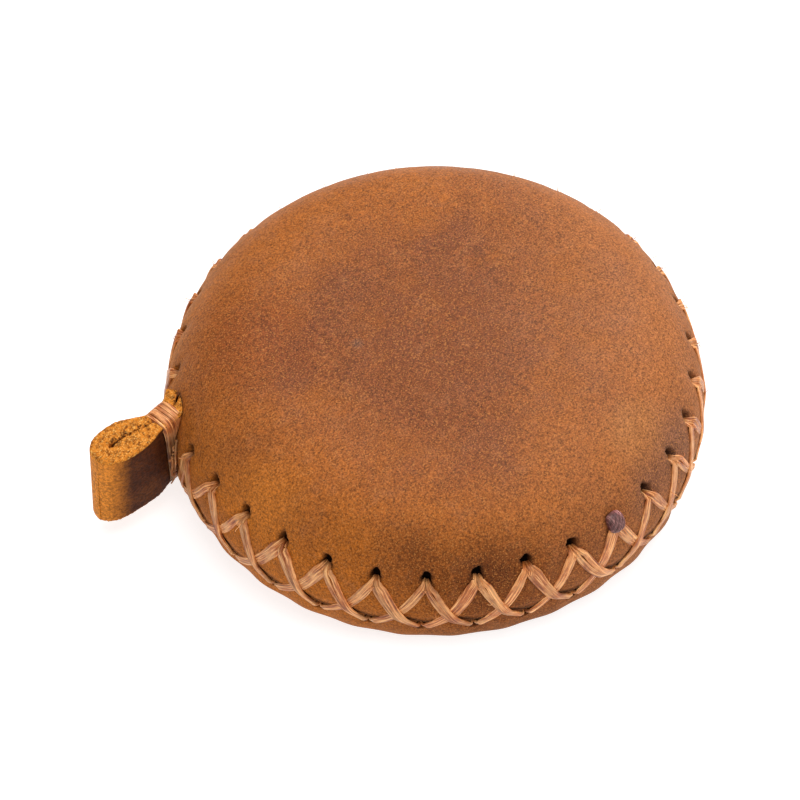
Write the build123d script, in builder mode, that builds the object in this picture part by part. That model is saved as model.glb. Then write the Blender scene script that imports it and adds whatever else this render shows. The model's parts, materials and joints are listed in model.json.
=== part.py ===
from build123d import *
import math
import os

os.makedirs("parts", exist_ok=True)

# A round pocket tape reel in a laced leather jacket, lying flat. Millimetres.
# Origin: centre of the flat base. +Z up. The tape is pulled out along -X.

# ---------------------------------------------------------------- driving dimensions
jacket_radius = 29.6  # widest radius of the leather
jacket_height = 18.0
flat_top_radius = 20.4  # the top is flat out to here, then rounds over
base_radius = 26.0  # the part of the base that rests on the table
widest_z = 6.8  # height of the widest ring
seam_z = 6.4  # the two leather halves meet here
leather = 1.8
glue_gap = 0.1  # between leather and plastic case
case_wall = 1.2

stitch_count = 33  # hole pairs around the rim, counting the two left out at the mouth
stitch_start = 155.01  # azimuth of the first hole beside the mouth, degrees
upper_hole_z = 12.57
lower_hole_z = 4.9
lower_hole_lag = 1.31  # the lower holes sit this many degrees behind the upper ones
stitch_hole_radius = 0.55
thread_width = 1.2
thread_thickness = 0.45
skin_gap = 0.02  # parts that lie on the leather clear it by this much

tape_y = 17.7  # the tape leaves the coil along this line
tape_z = 8.6  # middle of the tape's width
tape_width = 7.0
tape_thickness = 0.3
coil_inner_radius = 13.0
coil_outer_radius = tape_y + tape_thickness / 2

tab_width = 10.5  # height of the leather pull tab, which stands on edge
tab_drop = 0.6  # the tab hangs this much lower than the tape
tab_tip_x = -34.4
tab_neck_x = -26.5  # whipping starts here
tab_whip_end_x = -24.6
tab_flare_x = -22.6
tab_half_leaf = 2.5
tab_half_neck = 1.3
tab_clearance = 0.25  # between the tab and the jacket

axle_radius = 2.5
button_radius = 6.9
button_travel = 0.8

# ---------------------------------------------------------------- derived heights
tape_bottom_z = tape_z - tape_width / 2
tape_top_z = tape_z + tape_width / 2
case_inset = leather + glue_gap
floor_z = case_inset + case_wall  # top of the case floor
ceiling_z = jacket_height - floor_z  # underside of the case top
spool_base_z = floor_z + 0.6
spool_flange = 1.0
spool_radius = coil_outer_radius + 0.75
drum_radius = coil_inner_radius - 0.1
drum_wall = 1.5
drum_bore = drum_radius - drum_wall
cap_z = tape_top_z + 0.3  # underside of the spool's upper flange
cap_thickness = 0.8
spring_bottom_z = spool_base_z + spool_flange + 0.2
spring_width = 4.2
divider_z = spring_bottom_z + spring_width + 0.2
divider_thickness = 0.6
axle_shoulder_z = divider_z + divider_thickness + 0.05
brake_top_z = cap_z - 0.05
brake_ring_thickness = 0.4
brake_plate_thickness = 0.8
plate_top_z = brake_top_z - brake_ring_thickness
plate_bottom_z = plate_top_z - brake_plate_thickness
button_cap_z = cap_z + cap_thickness + button_travel + 0.3
button_top_z = jacket_height - case_inset

slot_width = 1.6
slot_height = tape_width + 1.2
slot_length = 16.0

boss_circle = 22.6
boss_start = 60  # azimuth of the first of the three screws, degrees
screw_radius = 0.95
screw_head_radius = 1.9
screw_head_height = 1.2
screw_length = 7.4


# ---------------------------------------------------------------- shared profiles
def jacket_radius_at(z, offset=0.0):
    """Radius of the jacket's outside at height z, moved out by offset."""
    if z >= seam_z:
        half_height = jacket_height - widest_z + offset
        half_width = jacket_radius - flat_top_radius + offset
        return flat_top_radius + half_width * math.sqrt(1 - ((z - widest_z) / half_height) ** 2)
    half_height = seam_z + offset
    half_width = jacket_radius_at(seam_z, offset) - base_radius
    return base_radius + half_width * math.sqrt(1 - ((seam_z - z) / half_height) ** 2)


def dome_section(offset):
    """Half section of the jacket above the seam, moved out by offset."""
    half_height = jacket_height - widest_z + offset
    half_width = jacket_radius - flat_top_radius + offset
    start = math.degrees(math.asin((seam_z - widest_z) / half_height))
    with BuildSketch(Plane.XZ) as section:
        with BuildLine():
            EllipticalCenterArc(
                (flat_top_radius, widest_z), half_width, half_height, start, arc_size=90 - start
            )
            Polyline(
                (flat_top_radius, jacket_height + offset),
                (0, jacket_height + offset),
                (0, seam_z),
                (jacket_radius_at(seam_z, offset), seam_z),
            )
        make_face()
    return section.sketch


def dish_section(offset):
    """Half section of the jacket below the seam, moved out by offset."""
    half_width = jacket_radius_at(seam_z, offset) - base_radius
    with BuildSketch(Plane.XZ) as section:
        with BuildLine():
            EllipticalCenterArc((base_radius, seam_z), half_width, seam_z + offset, -90, arc_size=90)
            Polyline(
                (base_radius + half_width, seam_z),
                (0, seam_z),
                (0, -offset),
                (base_radius, -offset),
            )
        make_face()
    return section.sketch


def jacket_body(offset):
    """The whole jacket as one solid of revolution, moved out by offset."""
    with BuildPart() as body:
        revolve(dome_section(offset), axis=Axis.Z)
        revolve(dish_section(offset), axis=Axis.Z)
    return body.part


def surface_point(azimuth, z, offset=0.0):
    """A point on the jacket's outside."""
    radius = jacket_radius_at(z, offset)
    angle = math.radians(azimuth)
    return Vector(radius * math.cos(angle), radius * math.sin(angle), z)


def surface_plane(azimuth, z, offset=0.0):
    """A plane on the jacket's outside, its Z pointing straight out of the leather."""
    step = 0.01
    below = surface_point(azimuth, z - step, offset)
    above = surface_point(azimuth, z + step, offset)
    around = Vector(0, 0, 1).cross(surface_point(azimuth, z) - Vector(0, 0, z))
    normal = around.cross(above - below)
    return Plane(origin=surface_point(azimuth, z, offset), x_dir=around, z_dir=normal)


def ring(inner, outer, bottom, height):
    """A flat ring about the axle, made where it stands."""
    with BuildPart() as made:
        with BuildSketch(Plane.XY.offset(bottom)):
            Circle(outer)
            Circle(inner, mode=Mode.SUBTRACT)
        extrude(amount=height)
    return made.part


def save(builder, name):
    builder.part.label = name
    export_step(builder.part, f"parts/{name}.step")


pitch = 360 / stitch_count
hole_azimuths = [stitch_start + i * pitch for i in range(stitch_count - 1)]
upper_planes = [surface_plane(a, upper_hole_z) for a in hole_azimuths]
lower_planes = [surface_plane(a - lower_hole_lag, lower_hole_z) for a in hole_azimuths]
mouth_x = -math.sqrt((jacket_radius - leather) ** 2 - tape_y**2)
knot_hole = upper_planes[10]
knot_width, knot_height, knot_depth = 1.9, 2.3, 1.0
plug_radius = stitch_hole_radius - 0.1  # thread inside a stitch hole
plug_length = leather + 0.25
plug_middle = 0.3 - plug_length / 2

# ---------------------------------------------------------------- leather jacket
with BuildPart() as cover_top:
    revolve(dome_section(0), axis=Axis.Z)
    revolve(dome_section(-leather), axis=Axis.Z, mode=Mode.SUBTRACT)
    with Locations(*[plane.location for plane in upper_planes]):
        Cylinder(stitch_hole_radius, 3 * leather, mode=Mode.SUBTRACT)
    with Locations((mouth_x, tape_y, tape_z)):
        Box(slot_length, slot_width, slot_height, mode=Mode.SUBTRACT)
save(cover_top, "cover_top")

with BuildPart() as cover_bottom:
    revolve(dish_section(0), axis=Axis.Z)
    revolve(dish_section(-leather), axis=Axis.Z, mode=Mode.SUBTRACT)
    with Locations(*[plane.location for plane in lower_planes]):
        Cylinder(stitch_hole_radius, 3 * leather, mode=Mode.SUBTRACT)
    with Locations((mouth_x, tape_y, tape_z)):
        Box(slot_length, slot_width, slot_height, mode=Mode.SUBTRACT)
save(cover_bottom, "cover_bottom")

# ---------------------------------------------------------------- cross-stitch lacing
# Each leg is a flat bar cut out of a thin skin over the jacket, so it follows the rim.
with BuildPart() as thread_skin:
    add(jacket_body(skin_gap + thread_thickness))
    add(jacket_body(skin_gap), mode=Mode.SUBTRACT)


def stitch_leg(start, end):
    """Place a bar of thread from one hole to another, wide enough to reach the skin."""
    along = end.origin - start.origin
    middle = (start.origin + end.origin) / 2
    outward = Vector(middle.X, middle.Y, 0)
    reach = 4 * leather
    plane = Plane(origin=middle, x_dir=along, z_dir=along.cross(outward).cross(along))
    with Locations(plane.location):
        Box(along.length + thread_width / 2, thread_width, reach)


with BuildPart() as seam_lacing:
    for i in range(len(hole_azimuths) - 1):
        stitch_leg(upper_planes[i], lower_planes[i + 1])
        stitch_leg(upper_planes[i + 1], lower_planes[i])
    stitch_leg(upper_planes[0], lower_planes[0])
    stitch_leg(upper_planes[-1], lower_planes[-1])
    add(thread_skin.part, mode=Mode.INTERSECT)
    plug_planes = upper_planes + lower_planes
    plug_planes.remove(knot_hole)
    with Locations(*[plane.offset(plug_middle).location for plane in plug_planes]):
        Cylinder(plug_radius, plug_length)
    with Locations(knot_hole.location):
        Box(knot_width + 0.1, knot_height + 0.1, 2 * knot_depth, mode=Mode.SUBTRACT)
save(seam_lacing, "seam_lacing")

with BuildPart() as thread_knot:
    with Locations(knot_hole.offset(skin_gap + knot_depth / 2).location):
        Box(knot_width, knot_height, knot_depth)
    fillet(thread_knot.edges(), 0.3)
    with Locations(knot_hole.offset(plug_middle).location):
        Cylinder(plug_radius, plug_length)
save(thread_knot, "thread_knot")

# ---------------------------------------------------------------- plastic case
with BuildPart() as top_bosses:
    revolve(dome_section(-case_inset - case_wall / 2), axis=Axis.Z)
    with BuildSketch(Plane.XY.offset(seam_z)):
        with PolarLocations(boss_circle, 3, start_angle=boss_start):
            Circle(2.0)
    extrude(amount=ceiling_z - seam_z, mode=Mode.INTERSECT)

with BuildPart() as case_top:
    revolve(dome_section(-case_inset), axis=Axis.Z)
    revolve(dome_section(-case_inset - case_wall), axis=Axis.Z, mode=Mode.SUBTRACT)
    add(ring(9.0, 10.5, cap_z + cap_thickness + 0.05, ceiling_z - cap_z - cap_thickness))
    add(top_bosses.part)
    with BuildSketch(Plane.XY.offset(seam_z)):
        with PolarLocations(boss_circle, 3, start_angle=boss_start):
            Circle(screw_radius + 0.02)
    extrude(amount=4.5, mode=Mode.SUBTRACT)
    with BuildSketch(Plane.XY.offset(ceiling_z - 0.01)):
        Circle(button_radius + 0.2)
        Rectangle(2 * (button_radius + 1.1), 2.0)
    extrude(amount=case_wall + 0.1, mode=Mode.SUBTRACT)
    with Locations((mouth_x, tape_y, tape_z)):
        Box(slot_length, slot_width, slot_height, mode=Mode.SUBTRACT)
save(case_top, "case_top")

with BuildPart() as case_bottom:
    revolve(dish_section(-case_inset), axis=Axis.Z)
    revolve(dish_section(-case_inset - case_wall), axis=Axis.Z, mode=Mode.SUBTRACT)
    add(ring(25.3, 26.7, seam_z - 1.5, 1.5))
    add(ring(25.3, 26.0, seam_z - 1.5, 2.5))
    with BuildSketch(Plane.XY.offset(case_inset)):
        with PolarLocations(boss_circle, 3, start_angle=boss_start):
            Circle(2.6)
    extrude(amount=seam_z - case_inset)
    with BuildSketch(Plane.XY.offset(case_inset)):
        with PolarLocations(boss_circle, 3, start_angle=boss_start):
            Circle(screw_radius + 0.2)
    extrude(amount=seam_z - case_inset, mode=Mode.SUBTRACT)
    with BuildSketch(Plane.XY.offset(case_inset)):
        with PolarLocations(boss_circle, 3, start_angle=boss_start):
            Circle(screw_head_radius + 0.2)
    extrude(amount=screw_head_height + 0.1, mode=Mode.SUBTRACT)
    with Locations((0, 0, case_inset + case_wall / 2)):
        Cone(2.42, 1.52, case_wall, mode=Mode.SUBTRACT)
    with Locations((mouth_x, tape_y, tape_z)):
        Box(slot_length, slot_width, slot_height, mode=Mode.SUBTRACT)
save(case_bottom, "case_bottom")

with BuildPart() as case_screws:
    with BuildSketch(Plane.XY.offset(case_inset + 0.05)):
        with PolarLocations(boss_circle, 3, start_angle=boss_start):
            Circle(screw_head_radius)
    extrude(amount=screw_head_height)
    with BuildSketch(Plane.XY.offset(case_inset + 0.05)):
        with PolarLocations(boss_circle, 3, start_angle=boss_start):
            Circle(screw_radius)
    extrude(amount=screw_head_height + screw_length)
    with BuildSketch(Plane.XY.offset(case_inset + 0.05)):
        with PolarLocations(boss_circle, 3, start_angle=boss_start):
            Rectangle(2 * screw_head_radius - 0.8, 0.5)
            Rectangle(0.5, 2 * screw_head_radius - 0.8)
    extrude(amount=0.6, mode=Mode.SUBTRACT)
save(case_screws, "case_screws")

# ---------------------------------------------------------------- axle and spool
axle_foot_radius = 4.0
spring_slot = 0.45

with BuildPart() as axle:
    with Locations((0, 0, case_inset + case_wall / 2)):
        Cone(2.4, 1.5, case_wall)
    with Locations((0, 0, floor_z)):
        Cylinder(axle_foot_radius, 0.5, align=(Align.CENTER, Align.CENTER, Align.MIN))
        Cylinder(axle_radius, axle_shoulder_z - floor_z, align=(Align.CENTER, Align.CENTER, Align.MIN))
        Cylinder(1.2, brake_top_z - floor_z, align=(Align.CENTER, Align.CENTER, Align.MIN))
    slot_depth = axle_radius - 1.3
    with Locations((1.3 + slot_depth / 2, 0, spring_bottom_z + spring_width / 2)):
        Box(slot_depth, spring_slot, spring_width + 0.3, mode=Mode.SUBTRACT)
save(axle, "axle")

with BuildPart() as spool_washer:
    add(ring(axle_foot_radius + 0.2, 7.5, floor_z, 0.5))
save(spool_washer, "spool_washer")

peg_circle = drum_radius - drum_wall / 2
anchor_azimuth = 200

with BuildPart() as spool_drum:
    with BuildSketch(Plane.XY.offset(spool_base_z)):
        Circle(spool_radius)
        Circle(axle_radius + 0.05, mode=Mode.SUBTRACT)
    extrude(amount=spool_flange)
    with BuildSketch(Plane.XY.offset(spool_base_z + spool_flange)):
        Circle(drum_radius)
        Circle(drum_bore, mode=Mode.SUBTRACT)
    extrude(amount=cap_z - spool_base_z - spool_flange)
    with BuildSketch(Plane.XY.offset(cap_z)):
        with PolarLocations(peg_circle, 3):
            Circle(0.5)
    extrude(amount=cap_thickness)
    with BuildSketch(Plane.XY.offset(spool_base_z + spool_flange)):
        with Locations((-drum_bore + 0.9, 0)):
            Circle(0.4)
    extrude(amount=spring_width)
    with PolarLocations(drum_radius - 0.4, 1, start_angle=anchor_azimuth):
        with Locations((0, 0, tape_z)):
            Box(0.9, 3.1, 5.1, mode=Mode.SUBTRACT)
save(spool_drum, "spool_drum")

with BuildPart() as tape_anchor:
    with PolarLocations(drum_radius - 0.4, 1, start_angle=anchor_azimuth):
        with Locations((0, 0, tape_z)):
            Box(0.8, 3.0, 5.0)
save(tape_anchor, "tape_anchor")

with BuildPart() as spool_cap:
    add(ring(5.6, spool_radius, cap_z, cap_thickness))
    add(ring(drum_bore - 0.6, drum_bore - 0.05, cap_z - 0.8, 0.8))
    with BuildSketch(Plane.XY.offset(cap_z)):
        with PolarLocations(peg_circle, 3):
            Circle(0.55)
    extrude(amount=cap_thickness, mode=Mode.SUBTRACT)
save(spool_cap, "spool_cap")

with BuildPart() as spring_cover:
    add(ring(axle_radius + 0.2, drum_bore - 0.05, divider_z, divider_thickness))
save(spring_cover, "spring_cover")

# The mainspring is a flat strip wound as half turns, each tangent to the next. It is
# loose near the axle and packed against the drum when all of the tape is in.
strip = 0.14
first_radius = 3.0
loose_steps = [0.62] * 5
packed_steps = [0.19] * 22


def spring_side(side):
    """One face of the strip: half turns whose centres step to and fro along X."""
    centre = 0.0
    radius = first_radius
    for turn, step in enumerate(loose_steps + packed_steps):
        upper_half = turn % 2 == 0
        CenterArc((centre, 0), radius + side, 0 if upper_half else 180, 180)
        centre += step if upper_half else -step
        radius += step
    return (centre, radius)


with BuildPart() as mainspring:
    with BuildSketch(Plane.XY.offset(spring_bottom_z)):
        with BuildLine():
            spring_side(strip / 2)
            end_centre, end_radius = spring_side(-strip / 2)
            Line((first_radius - strip / 2, 0), (first_radius + strip / 2, 0))
            end_x = end_centre - end_radius
            Line((end_x - strip / 2, 0), (end_x + strip / 2, 0))
        make_face()
        with Locations((first_radius / 2 + 0.85, 0)):
            Rectangle(first_radius - 1.6, strip)
    extrude(amount=spring_width)
save(mainspring, "mainspring")

# ---------------------------------------------------------------- tape
with BuildPart() as tape_coil:
    add(ring(coil_inner_radius, coil_outer_radius, tape_bottom_z, tape_width))
save(tape_coil, "tape_coil")

lead_start_x = -2.9  # where the straight tape has left the coil
lead_end_x = -30.4
clip_start_x = -28.8

with BuildPart() as tape_lead:
    with Locations(((lead_start_x + lead_end_x) / 2, tape_y, tape_z)):
        Box(lead_start_x - lead_end_x, tape_thickness, tape_width)
    with Locations((0, 0, tape_z)):
        Cylinder(coil_outer_radius + 0.03, 2 * tape_width, mode=Mode.SUBTRACT)
save(tape_lead, "tape_lead")

with BuildPart() as tape_end_clip:
    with Locations(((lead_end_x + clip_start_x) / 2 - 0.2, tape_y, tape_z)):
        Box(clip_start_x - lead_end_x + 0.4, tape_thickness + 0.5, tape_width + 0.2)
    with Locations(((lead_end_x + clip_start_x) / 2, tape_y, tape_z)):
        Box(clip_start_x - lead_end_x, tape_thickness, tape_width, mode=Mode.SUBTRACT)
save(tape_end_clip, "tape_end_clip")

# ---------------------------------------------------------------- pull tab
# One strip of leather folded in half over the end of the tape, seen here from above.
jacket_keep_out = jacket_body(tab_clearance)
tab_z = tape_z - tab_drop
tab_bottom_z = tab_z - tab_width / 2

with BuildPart() as pull_tab:
    with BuildSketch(Plane.XY.offset(tab_bottom_z)):
        with BuildLine():
            leaf_top = (tab_tip_x + 2.6, tape_y + tab_half_leaf)
            neck = (tab_neck_x, tape_y + tab_half_neck)
            Spline((tab_tip_x, tape_y), leaf_top, neck, tangents=[(0, 1), (1, 0)])
            Polyline(
                neck,
                (tab_whip_end_x, tape_y + tab_half_neck),
                (tab_flare_x, tape_y + tab_half_neck + 0.3),
                (tab_flare_x, tape_y),
                (tab_tip_x, tape_y),
            )
        make_face()
        mirror(about=Plane.XZ.offset(-tape_y))
    extrude(amount=tab_width)
    with BuildSketch(Plane.XY.offset(tab_bottom_z)):
        with Locations((tab_tip_x + 2.0, tape_y)):
            SlotOverall(1.3, 0.5)
    extrude(amount=tab_width, mode=Mode.SUBTRACT)
    with Locations(((lead_end_x + tab_flare_x) / 2, tape_y, tape_z)):
        Box(tab_flare_x - lead_end_x, tape_thickness + 0.04, tape_width + 0.04, mode=Mode.SUBTRACT)
    with Locations(((lead_end_x + clip_start_x) / 2 - 0.2, tape_y, tape_z)):
        Box(clip_start_x - lead_end_x + 0.44, tape_thickness + 0.54, tape_width + 0.24, mode=Mode.SUBTRACT)
    add(jacket_keep_out, mode=Mode.SUBTRACT)
save(pull_tab, "pull_tab")

with BuildPart() as tab_whipping:
    whip_width = 2 * tab_half_neck + 2 * skin_gap
    whip_height = tab_width + 2 * skin_gap
    with BuildSketch(Plane.YZ.offset(tab_neck_x)):
        with Locations((tape_y, tab_z)):
            RectangleRounded(whip_width + 2 * thread_thickness, whip_height + 2 * thread_thickness, 0.6)
            Rectangle(whip_width, whip_height, mode=Mode.SUBTRACT)
    extrude(amount=tab_whip_end_x - tab_neck_x)
    add(jacket_keep_out, mode=Mode.SUBTRACT)
save(tab_whipping, "tab_whipping")

# ---------------------------------------------------------------- brake and button
stem_radius = 3.2
neck_radius = 2.6
button_bore = 2.05
bore_top_z = axle_shoulder_z + 3.85

with BuildPart() as button:
    with Locations((0, 0, button_cap_z)):
        Cylinder(
            button_radius, button_top_z - button_cap_z, align=(Align.CENTER, Align.CENTER, Align.MIN)
        )
        with Locations((0, 0, (button_top_z - button_cap_z) / 2)):
            Box(2 * (button_radius + 0.9), 1.6, button_top_z - button_cap_z)
    fillet(button.faces().sort_by(Axis.Z)[-1].edges(), 0.3)
    with Locations((0, 0, plate_top_z)):
        Cylinder(
            stem_radius, button_cap_z - plate_top_z, align=(Align.CENTER, Align.CENTER, Align.MIN)
        )
    with Locations((0, 0, plate_bottom_z)):
        Cylinder(neck_radius, brake_plate_thickness, align=(Align.CENTER, Align.CENTER, Align.MIN))
    with Locations((0, 0, plate_bottom_z)):
        Cylinder(2.95, 0.3, align=(Align.CENTER, Align.CENTER, Align.MAX))
    with Locations((0, 0, plate_bottom_z - 0.3)):
        Cylinder(
            button_bore,
            bore_top_z - plate_bottom_z + 0.3,
            align=(Align.CENTER, Align.CENTER, Align.MIN),
            mode=Mode.SUBTRACT,
        )
save(button, "button")

with BuildPart() as brake_plate:
    add(ring(neck_radius + 0.02, 7.4, plate_bottom_z, brake_plate_thickness))
save(brake_plate, "brake_plate")

with BuildPart() as brake_ring:
    add(ring(5.9, 7.4, plate_top_z, brake_ring_thickness))
save(brake_ring, "brake_ring")

spring_wire = 0.17
spring_coil_radius = 1.65
spring_height = bore_top_z - axle_shoulder_z - 2 * spring_wire - 0.1
spring_pitch = spring_height / 4

with BuildPart() as button_spring:
    with BuildLine(Plane.XY.offset(axle_shoulder_z + spring_wire + 0.05)):
        coil = Helix(spring_pitch, spring_height, spring_coil_radius)
    with BuildSketch(Plane(origin=coil @ 0, z_dir=coil % 0)):
        Circle(spring_wire)
    sweep(path=coil, is_frenet=True)
save(button_spring, "button_spring")
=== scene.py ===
import json
import math
import random

import bpy
import numpy as np
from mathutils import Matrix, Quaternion, Vector


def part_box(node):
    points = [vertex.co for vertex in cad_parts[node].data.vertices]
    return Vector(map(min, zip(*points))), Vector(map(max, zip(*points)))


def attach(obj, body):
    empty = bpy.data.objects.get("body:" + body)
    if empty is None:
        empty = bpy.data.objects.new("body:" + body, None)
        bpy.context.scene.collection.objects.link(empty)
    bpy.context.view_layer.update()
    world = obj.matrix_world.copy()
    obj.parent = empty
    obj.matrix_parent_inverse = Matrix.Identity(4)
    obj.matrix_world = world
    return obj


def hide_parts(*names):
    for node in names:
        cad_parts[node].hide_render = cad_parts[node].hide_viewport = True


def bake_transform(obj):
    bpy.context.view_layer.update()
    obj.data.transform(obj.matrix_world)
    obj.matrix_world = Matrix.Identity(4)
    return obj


# A pocket tape reel in a laced leather jacket. Metres, in the CAD frame: the base is at
# z = 0 and the tape is pulled out along -X.
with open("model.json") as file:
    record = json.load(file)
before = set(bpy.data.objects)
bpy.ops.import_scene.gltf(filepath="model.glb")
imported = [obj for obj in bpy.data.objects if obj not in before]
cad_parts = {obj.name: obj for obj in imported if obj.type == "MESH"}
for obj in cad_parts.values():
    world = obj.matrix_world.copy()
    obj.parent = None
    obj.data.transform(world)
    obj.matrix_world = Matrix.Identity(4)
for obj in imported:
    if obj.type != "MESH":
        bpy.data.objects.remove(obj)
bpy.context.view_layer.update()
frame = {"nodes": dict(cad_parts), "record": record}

MM = 0.001
rng = random.Random(7)
fibre_rng = np.random.default_rng(11)

# ---------------------------------------------------------------- sizes read from the frame
SEAM_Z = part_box("cover_top")[0][2]
TOP_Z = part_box("cover_top")[1][2]
lead_low, lead_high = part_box("tape_lead")
TAPE_Y = (lead_low[1] + lead_high[1]) / 2
TAPE_Z = (lead_low[2] + lead_high[2]) / 2
TAPE_HALF_WIDTH = (lead_high[2] - lead_low[2]) / 2
COIL_EXIT_X = lead_high[0]
tab_low, tab_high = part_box("pull_tab")
MOUTH_TOP = TAPE_Z + TAPE_HALF_WIDTH + 0.6 * MM
MOUTH_BOTTOM = TAPE_Z - TAPE_HALF_WIDTH - 0.6 * MM

# ---------------------------------------------------------------- the jacket's own sizes
WIDEST_Z = 6.8 * MM
SHOULDER_R = 16.0 * MM  # the top starts to round over here
BASE_R = 26.0 * MM
MAX_R = 29.6 * MM
CROWN = 0.3 * MM
LEATHER = 1.6 * MM
STITCHES = 33
PITCH = 2 * math.pi / STITCHES
FIRST_HOLE = math.radians(155.01)
HOLES = [FIRST_HOLE + i * PITCH for i in range(STITCHES - 1)]
UPPER_Z = 12.02 * MM
LOWER_Z = 4.9 * MM
LOWER_LAG = math.radians(1.31)
HOLE_HALF_WIDTH = 0.58 * MM
HOLE_HALF_HEIGHT = 0.80 * MM
KNOT_HOLE = 10
TONGUE = 0.45 * MM  # how far the seam hangs lower at each hole
UPPER_TONGUE_REACH = 2.6 * MM  # how far from the seam each half is drawn along with it
LOWER_TONGUE_REACH = 0.95 * MM
ROUNDED_BELOW = WIDEST_Z + 9 * MM  # the side's radius follows its height below this
SEAM_GAP = 0.1 * MM  # each half stops this far from the seam
EDGE_BULGE = 0.26 * MM  # the cut edge's rounding
EDGE_TUCK = 0.12 * MM
EDGE_ROLL = 0.13 * MM  # the outside turns in at the seam by this much
HOLE_PIT = 1.35 * MM
HOLE_DRAW = 0.14 * MM  # the thread pulls the leather in round a hole
HOLE_LIP = 0.03 * MM
RIM_SWAY = 0.08 * MM
MOUTH_AZIMUTH = math.radians(142.2)
MOUTH_HALF_WIDTH = 0.95 * MM
MOUTH_CORNER = 0.5 * MM
MOUTH_DRAW = 2 * MM  # leather as far as this past the mouth gives way to it
NO_HOLE = 10.0  # angle to a hole that is not there, out of every hole's reach


# ---------------------------------------------------------------- small helpers
def srgb(r, g, b):
    """Linear colour from 0-255 display values."""
    linear = []
    for c in (r, g, b):
        c = c / 255
        linear.append(c / 12.92 if c <= 0.04045 else ((c + 0.055) / 1.055) ** 2.4)
    return (*linear, 1.0)


def smooth(t):
    t = np.clip(t, 0.0, 1.0)
    return t * t * (3 - 2 * t)


def bell(distance, width):
    return np.exp(-((distance / width) ** 2))


def spaced(start, end, count):
    return list(np.linspace(start, end, count, endpoint=False))


def spline(controls, samples):
    """Points on a smooth curve through the control points."""
    knots = np.array(controls, dtype=float)
    result = []
    for u in np.linspace(0, len(knots) - 1, samples):
        i = int(min(u, len(knots) - 2))
        f = u - i
        p0, p1 = knots[max(i - 1, 0)], knots[i]
        p2, p3 = knots[i + 1], knots[min(i + 2, len(knots) - 1)]
        bend = (2 * p0 - 5 * p1 + 4 * p2 - p3) * f**2 + (3 * p1 - p0 - 3 * p2 + p3) * f**3
        result.append(0.5 * (2 * p1 + (p2 - p0) * f + bend))
    return np.array(result)


def grid_faces(rows, columns, start=0, wrap=True):
    faces = []
    for i in range(rows - 1):
        for j in range(columns if wrap else columns - 1):
            k = (j + 1) % columns
            a = start + i * columns
            b = a + columns
            faces.append((a + j, b + j, b + k, a + k))
    return faces


def mesh_object(name, points, faces, material, uv=None):
    """A smooth-shaded mesh. uv is one pair for each vertex."""
    mesh = bpy.data.meshes.new(name)
    mesh.from_pydata([tuple(p) for p in points], [], faces)
    mesh.update()
    mesh.polygons.foreach_set("use_smooth", [True] * len(mesh.polygons))
    if uv is not None:
        layer = mesh.uv_layers.new(name="lengthwise")
        corner = np.zeros(len(mesh.loops), dtype=np.int32)
        mesh.loops.foreach_get("vertex_index", corner)
        layer.data.foreach_set("uv", np.asarray(uv, dtype=np.float32)[corner].ravel())
    mesh.materials.append(material)
    piece = bpy.data.objects.new(name, mesh)
    bpy.context.scene.collection.objects.link(piece)
    return piece


def attribute(piece, name, values):
    layer = piece.data.attributes.new(name, "FLOAT", "POINT")
    layer.data.foreach_set("value", np.asarray(values, dtype=np.float32))


# ---------------------------------------------------------------- material helpers
def new_material(name):
    material = bpy.data.materials.new(name)
    material.use_nodes = True
    tree = material.node_tree
    return material, tree, tree.nodes["Principled BSDF"]


def plug(tree, socket, value):
    if isinstance(value, bpy.types.NodeSocket):
        tree.links.new(value, socket)
    else:
        socket.default_value = value


def add_node(tree, kind, inputs=None, **settings):
    node = tree.nodes.new(kind)
    for key, value in settings.items():
        setattr(node, key, value)
    for key, value in (inputs or {}).items():
        plug(tree, node.inputs[key], value)
    return node


def noise(tree, vector, scale, detail=3.0, roughness=0.55, distortion=0.0):
    values = {
        "Vector": vector,
        "Scale": scale,
        "Detail": detail,
        "Roughness": roughness,
        "Distortion": distortion,
    }
    return add_node(tree, "ShaderNodeTexNoise", values).outputs["Fac"]


def remap(tree, value, low, high, to_low=0.0, to_high=1.0):
    values = {
        "Value": value,
        "From Min": low,
        "From Max": high,
        "To Min": to_low,
        "To Max": to_high,
    }
    return add_node(tree, "ShaderNodeMapRange", values).outputs["Result"]


def mix(tree, factor, a, b, blend="MIX"):
    node = add_node(tree, "ShaderNodeMix", data_type="RGBA", blend_type=blend)
    plug(tree, node.inputs[0], factor)
    plug(tree, node.inputs[6], a)
    plug(tree, node.inputs[7], b)
    return node.outputs[2]


def maths(tree, operation, a, b=0.0):
    node = add_node(tree, "ShaderNodeMath", operation=operation)
    plug(tree, node.inputs[0], a)
    plug(tree, node.inputs[1], b)
    return node.outputs[0]


def shade(tree, colour, amount):
    """Colour made lighter or darker by a grey amount about 1."""
    grey = add_node(tree, "ShaderNodeCombineColor", {"Red": amount, "Green": amount, "Blue": amount})
    return mix(tree, 1.0, colour, grey.outputs[0], "MULTIPLY")


def bump(tree, height, strength, distance, normal=None):
    values = {"Height": height, "Strength": strength, "Distance": distance}
    if normal is not None:
        values["Normal"] = normal
    return add_node(tree, "ShaderNodeBump", values).outputs[0]


def object_coords(tree):
    return add_node(tree, "ShaderNodeTexCoord").outputs["Object"]


def mesh_value(tree, name):
    return add_node(tree, "ShaderNodeAttribute", attribute_name=name).outputs["Fac"]


# ---------------------------------------------------------------- leather and thread
def near_point(tree, coords, centre, reach):
    """1 close to a point of the object, falling to 0 at reach from it."""
    away = add_node(tree, "ShaderNodeVectorMath", {0: coords, 1: centre}, operation="DISTANCE")
    return remap(tree, away.outputs["Value"], 0.25 * reach, reach, 1.0, 0.0)


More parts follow.
